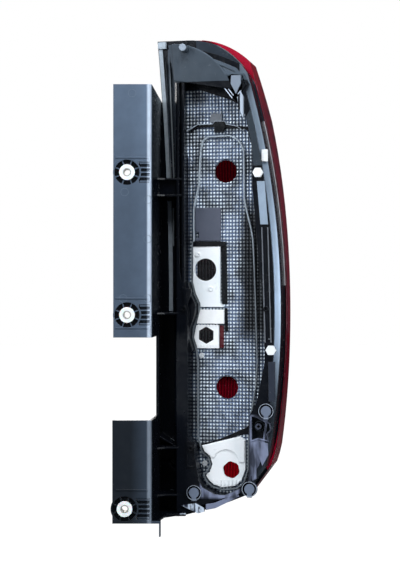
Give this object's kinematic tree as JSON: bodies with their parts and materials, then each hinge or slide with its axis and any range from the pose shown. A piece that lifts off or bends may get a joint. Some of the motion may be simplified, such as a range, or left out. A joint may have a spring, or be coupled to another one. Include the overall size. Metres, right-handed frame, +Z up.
{
  "type": "tail light cluster",
  "caption": "Tall rear lamp of a vehicle with a red lens, a black housing with a side fixing arm, and silvered reflectors open at the back.",
  "frame": {"origin": "centre of the upper fixing hole, on the plane where the bushes meet the vehicle body", "axes": "+Z up as fitted, -Y the way the fixing screws leave, +X towards the outer edge of the lamp, lens facing +Y"},
  "size_m": [0.1967, 0.1396, 0.5425],
  "materials": {
    "black_plastic": "satin",
    "red_lens": "polished",
    "clear_lens": "polished",
    "grey_seal": "matte",
    "silvered": "satin",
    "white_plastic": "satin",
    "dark_plastic": "matte",
    "gasket_grey": "matte",
    "sleeve_metal": "satin",
    "grey_plastic": "satin",
    "white_foam": "matte"
  },
  "bodies": {
    "root": {"housing": "black_plastic", "lens_red": "red_lens", "lens_clear": "clear_lens", "rim_seal": "grey_seal", "main_reflector": "silvered", "mid_reflector": "silvered", "white_panel": "white_plastic", "hex_reflector": "silvered", "low_reflector": "silvered", "cover_plate": "dark_plastic", "carrier_gasket": "gasket_grey", "divider_strip": "dark_plastic", "slot_strip": "red_lens", "bush_upper": "white_plastic", "bush_middle": "white_plastic", "bush_lower": "white_plastic", "sleeve_upper": "sleeve_metal", "sleeve_middle": "sleeve_metal", "sleeve_lower": "sleeve_metal", "head_upper": "white_plastic", "head_lower": "white_plastic", "pin_top": "grey_plastic", "pin_right": "grey_plastic", "pin_left": "grey_plastic", "pin_low": "grey_plastic", "stud_top": "grey_plastic", "foam_pad": "white_foam", "panel_screws": "sleeve_metal"}
  },
  "joints": []
}
